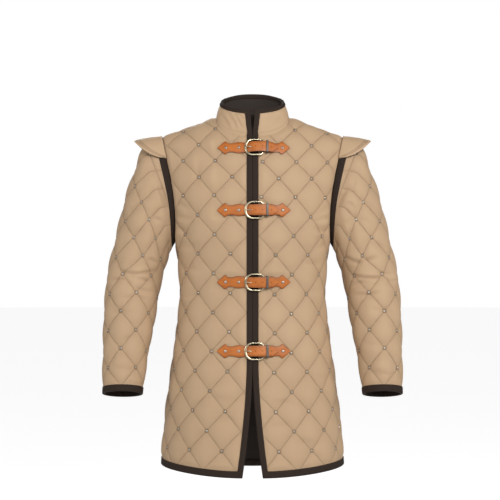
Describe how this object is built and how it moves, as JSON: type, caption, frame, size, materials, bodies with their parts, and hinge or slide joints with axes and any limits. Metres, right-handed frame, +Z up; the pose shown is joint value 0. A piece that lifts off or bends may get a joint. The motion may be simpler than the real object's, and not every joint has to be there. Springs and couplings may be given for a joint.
{
  "type": "gambeson",
  "caption": "Quilted tan arming jacket with dark bindings, shoulder wings, stand collar and leather strap closures with ring buckles, in its worn form",
  "frame": {"origin": "between the shoulders, level with the shoulder seams, where the wearer carries the garment", "axes": "+Z up along the garment's length, -Y to the front, +X to the wearer's left"},
  "size_m": [0.777, 0.3627, 0.9928],
  "materials": {
    "drill": "smooth cotton drill, quilted",
    "twill": "dark brown cotton twill tape",
    "leather": "tan vegetable-tanned leather",
    "brass": "pale antique brass",
    "steel": "grey nickel-plated steel"
  },
  "bodies": {
    "root": {"front_left": "drill", "front_right": "drill", "back": "drill", "collar": "drill", "sleeve_left": "drill", "wing_left": "drill", "front_binding_left": "twill", "hem_binding_left": "twill", "cuff_binding_left": "twill", "armhole_band_left": "twill", "sleeve_right": "drill", "wing_right": "drill", "front_binding_right": "twill", "hem_binding_right": "twill", "cuff_binding_right": "twill", "armhole_band_right": "twill", "hem_binding_back": "twill", "collar_binding": "twill", "closure_1_billet": "leather", "closure_1_anchor": "leather", "closure_1_ring": "brass", "closure_1_prong": "brass", "closure_1_keeper": "steel", "closure_1_rivet_1": "steel", "closure_1_rivet_2": "steel", "closure_1_rivet_3": "steel", "closure_2_billet": "leather", "closure_2_anchor": "leather", "closure_2_ring": "brass", "closure_2_prong": "brass", "closure_2_keeper": "steel", "closure_2_rivet_1": "steel", "closure_2_rivet_2": "steel", "closure_2_rivet_3": "steel", "closure_3_billet": "leather", "closure_3_anchor": "leather", "closure_3_ring": "brass", "closure_3_prong": "brass", "closure_3_keeper": "steel", "closure_3_rivet_1": "steel", "closure_3_rivet_2": "steel", "closure_3_rivet_3": "steel", "closure_4_billet": "leather", "closure_4_anchor": "leather", "closure_4_ring": "brass", "closure_4_prong": "brass", "closure_4_keeper": "steel", "closure_4_rivet_1": "steel", "closure_4_rivet_2": "steel", "closure_4_rivet_3": "steel"}
  },
  "joints": []
}
